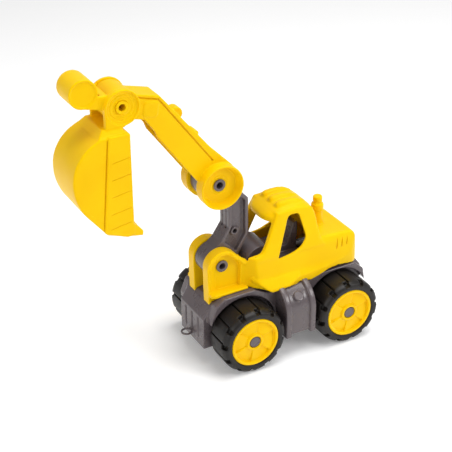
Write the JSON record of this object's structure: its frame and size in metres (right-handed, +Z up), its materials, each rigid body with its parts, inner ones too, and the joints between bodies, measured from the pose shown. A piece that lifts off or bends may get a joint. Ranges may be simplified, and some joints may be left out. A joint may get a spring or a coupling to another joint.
{
  "type": "toy excavator",
  "caption": "Hand-pushed toy excavator with an open cab, chunky free-rolling wheels, a jointed arm and a scoop with a round hand grip.",
  "frame": {"origin": "on the ground under the middle of the whole toy, arm and bucket included, in the stored pose", "axes": "+X forward toward the bucket, +Y to the toy's left, +Z up"},
  "size_m": [0.3099, 0.12, 0.3231],
  "materials": {
    "yellow_plastic": "satin",
    "grey_plastic": "semi-gloss",
    "tyre_black": "satin",
    "steel": "plain"
  },
  "bodies": {
    "vehicle": {"chassis_frame": "grey_plastic", "chassis_floor": "grey_plastic", "floor_screws": "steel", "side_tank_left": "grey_plastic", "side_tank_right": "grey_plastic", "body_shell": "yellow_plastic", "body_screws": "steel", "cab_interior": "grey_plastic", "exhaust_stack": "yellow_plastic", "front_axle": "steel", "rear_axle": "steel", "base_pin": "grey_plastic", "base_pin_clip": "grey_plastic", "front_left_hub_cap": "grey_plastic", "front_right_hub_cap": "grey_plastic", "rear_left_hub_cap": "grey_plastic", "rear_right_hub_cap": "grey_plastic"},
    "lower_boom": {"lower_arm": "grey_plastic", "elbow_pin": "grey_plastic", "elbow_pin_clip": "grey_plastic"},
    "upper_boom": {"upper_arm": "yellow_plastic"},
    "scoop": {"bucket": "yellow_plastic", "bucket_pin": "yellow_plastic", "bucket_pin_clip": "yellow_plastic"},
    "front_left_wheel": {"front_left_tyre": "tyre_black", "front_left_rim": "yellow_plastic"},
    "front_right_wheel": {"front_right_tyre": "tyre_black", "front_right_rim": "yellow_plastic"},
    "rear_left_wheel": {"rear_left_tyre": "tyre_black", "rear_left_rim": "yellow_plastic"},
    "rear_right_wheel": {"rear_right_tyre": "tyre_black", "rear_right_rim": "yellow_plastic"}
  },
  "joints": [
    {"name": "arm_base", "type": "hinge", "parent": "vehicle", "child": "lower_boom", "pos_m": [0.0054, 0, 0.105], "axis": [0, 1, 0], "range_deg": [-10, 40]},
    {"name": "arm_elbow", "type": "hinge", "parent": "lower_boom", "child": "upper_boom", "pos_m": [0.0059, 0, 0.1921], "axis": [0, 1, 0], "range_deg": [-30, 45]},
    {"name": "bucket_tilt", "type": "hinge", "parent": "upper_boom", "child": "scoop", "pos_m": [0.1026, 0, 0.2926], "axis": [0, 1, 0], "range_deg": [-60, 30]},
    {"name": "front_left_roll", "type": "hinge", "parent": "vehicle", "child": "front_left_wheel", "pos_m": [-0.00925, 0.043, 0.035], "axis": [0, 1, 0], "continuous": true},
    {"name": "front_right_roll", "type": "hinge", "parent": "vehicle", "child": "front_right_wheel", "pos_m": [-0.00925, -0.043, 0.035], "axis": [0, 1, 0], "continuous": true},
    {"name": "rear_left_roll", "type": "hinge", "parent": "vehicle", "child": "rear_left_wheel", "pos_m": [-0.11995, 0.043, 0.035], "axis": [0, 1, 0], "continuous": true},
    {"name": "rear_right_roll", "type": "hinge", "parent": "vehicle", "child": "rear_right_wheel", "pos_m": [-0.11995, -0.043, 0.035], "axis": [0, 1, 0], "continuous": true}
  ]
}
